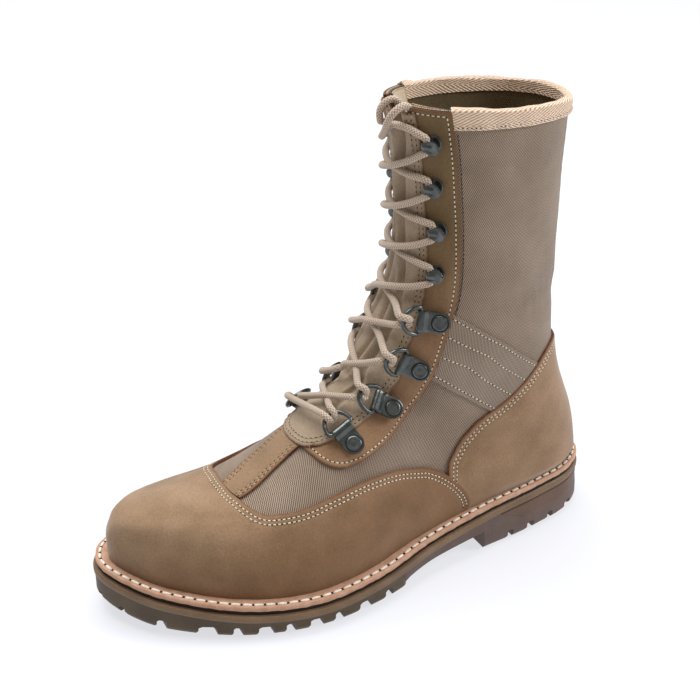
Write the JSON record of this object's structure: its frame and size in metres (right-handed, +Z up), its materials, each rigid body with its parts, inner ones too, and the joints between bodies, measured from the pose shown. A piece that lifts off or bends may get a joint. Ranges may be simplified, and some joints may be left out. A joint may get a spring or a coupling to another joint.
{
  "type": "high lace-up canvas boot",
  "caption": "Tall lace-up boot with a canvas shaft, sand nubuck toe, heel counter and lacing facings, ring and hook lacing, stitched welt and a lugged rubber sole.",
  "frame": {"origin": "centre of the bounding box in plan, on the plane the tread stands on", "axes": "Z up; toe toward -Y and heel toward +Y; the wearer's left, the outer side of this left boot, is +X"},
  "size_m": [0.1199, 0.3066, 0.2736],
  "materials": {
    "canvas": "matt cotton twill",
    "nubuck": "napped nubuck, matt",
    "tongue_nubuck": "soft napped nubuck, matt",
    "tape": "herringbone webbing",
    "lace_cord": "round braid",
    "welt_leather": "vegetable tanned, cut edge",
    "insole_board": "dark cloth sock",
    "midsole_rubber": "dark rubber sheet",
    "outsole_rubber": "moulded rubber, satin",
    "gunmetal": "satin gunmetal plating"
  },
  "bodies": {
    "root": {"clip_left_1": "gunmetal", "clip_left_2": "gunmetal", "clip_left_3": "gunmetal", "clip_left_4": "gunmetal", "clip_right_1": "gunmetal", "clip_right_2": "gunmetal", "clip_right_3": "gunmetal", "clip_right_4": "gunmetal", "collar_tape": "tape", "facing_left": "nubuck", "facing_right": "nubuck", "heel_counter": "nubuck", "hook_left_1": "gunmetal", "hook_left_2": "gunmetal", "hook_left_3": "gunmetal", "hook_left_4": "gunmetal", "hook_right_1": "gunmetal", "hook_right_2": "gunmetal", "hook_right_3": "gunmetal", "hook_right_4": "gunmetal", "insole": "insole_board", "lace_bar": "lace_cord", "lace_cross_1": "lace_cord", "lace_cross_2": "lace_cord", "lace_cross_3": "lace_cord", "lace_cross_4": "lace_cord", "lace_cross_5": "lace_cord", "lace_cross_6": "lace_cord", "lace_cross_7": "lace_cord", "lace_end": "lace_cord", "lace_knot": "lace_cord", "lace_loop": "lace_cord", "lace_top_left": "lace_cord", "lace_top_right": "lace_cord", "midsole": "midsole_rubber", "outsole": "outsole_rubber", "ring_left_1": "gunmetal", "ring_left_2": "gunmetal", "ring_left_3": "gunmetal", "ring_left_4": "gunmetal", "ring_right_1": "gunmetal", "ring_right_2": "gunmetal", "ring_right_3": "gunmetal", "ring_right_4": "gunmetal", "tongue": "tongue_nubuck", "upper": "canvas", "vamp": "nubuck", "vamp_strip": "nubuck", "welt": "welt_leather"}
  },
  "joints": []
}
